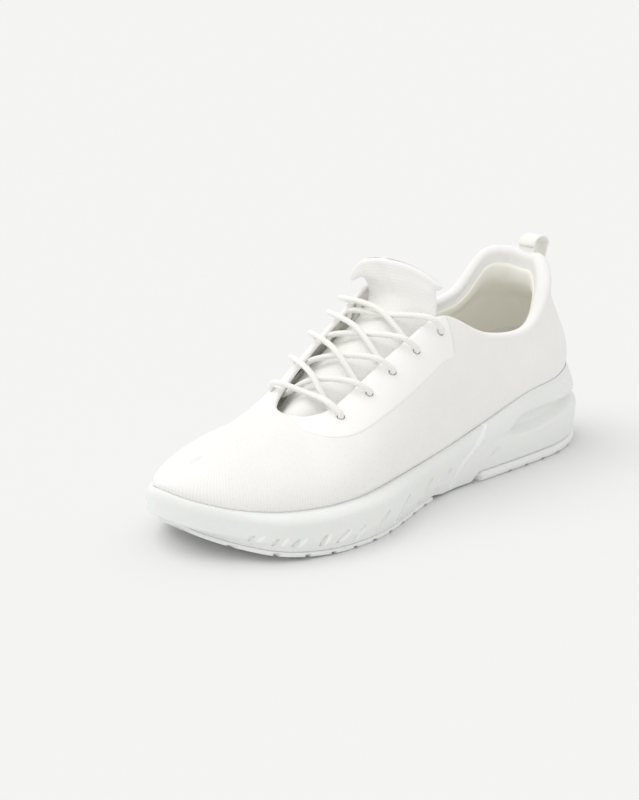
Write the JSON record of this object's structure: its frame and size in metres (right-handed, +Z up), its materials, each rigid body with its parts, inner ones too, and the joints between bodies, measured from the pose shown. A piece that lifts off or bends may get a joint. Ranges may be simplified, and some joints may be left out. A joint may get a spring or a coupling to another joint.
{
  "type": "running shoe",
  "caption": "Low-cut left running shoe: white foam sole with rubber tread, knitted upper, padded collar, laced padded tongue and pull loop at the heel.",
  "frame": {"origin": "On the ground under the middle of the shoe's bounding box.", "axes": "+X towards the toe, +Y towards the outer side of the foot, +Z up."},
  "size_m": [0.2858, 0.1052, 0.1158],
  "materials": {
    "foam_white": "satin moulded EVA foam skin",
    "rubber_white": "matt moulded rubber",
    "board_fibre": "stiff non-woven board",
    "sock_foam": "open-cell foam",
    "lining_cream": "brushed knitted lining cloth",
    "knit_white": "fine ribbed knit with small vent holes",
    "pad_foam": "soft foam",
    "film_white": "smooth fused film over knit",
    "lace_ivory": "braided polyester cord and webbing",
    "aglet_clear": "glossy moulded tip"
  },
  "bodies": {
    "shoe": {"midsole": "foam_white", "outsole_heel": "rubber_white", "outsole_forefoot": "rubber_white", "strobel_board": "board_fibre", "upper_knit": "knit_white", "toe_puff": "board_fibre", "heel_counter": "board_fibre", "collar_foam": "pad_foam", "collar_lining": "lining_cream", "vamp_lining": "lining_cream", "facing_film_outer": "film_white", "facing_backing_outer": "lining_cream", "facing_film_inner": "film_white", "facing_backing_inner": "lining_cream", "tongue_base_face": "knit_white", "tongue_base_foam": "pad_foam", "tongue_base_lining": "lining_cream", "lace": "lace_ivory", "aglet_outer": "aglet_clear", "aglet_inner": "aglet_clear", "heel_loop_tail": "lace_ivory"},
    "tongue_top": {"tongue_top_face": "knit_white", "tongue_top_foam": "pad_foam", "tongue_top_lining": "lining_cream"},
    "sockliner": {"sockliner_foam": "sock_foam", "sockliner_cover": "lining_cream"},
    "heel_pull": {"heel_loop": "lace_ivory"}
  },
  "joints": [
    {"name": "tongue_fold", "type": "hinge", "parent": "shoe", "child": "tongue_top", "pos_m": [-0.01225, -0.0066, 0.0965], "axis": [0, 1, 0], "range_deg": [-3, 45], "stiffness_Nm_per_rad": 0.03},
    {"name": "sockliner_lift", "type": "hinge", "parent": "shoe", "child": "sockliner", "pos_m": [0.1313, -0.007, 0.0262], "axis": [0, 1, 0], "range_deg": [0, 4]},
    {"name": "heel_loop_flex", "type": "hinge", "parent": "shoe", "child": "heel_pull", "pos_m": [-0.12455, -0.0041, 0.1074], "axis": [0, 1, 0], "range_deg": [-15, 15], "stiffness_Nm_per_rad": 0.01}
  ]
}
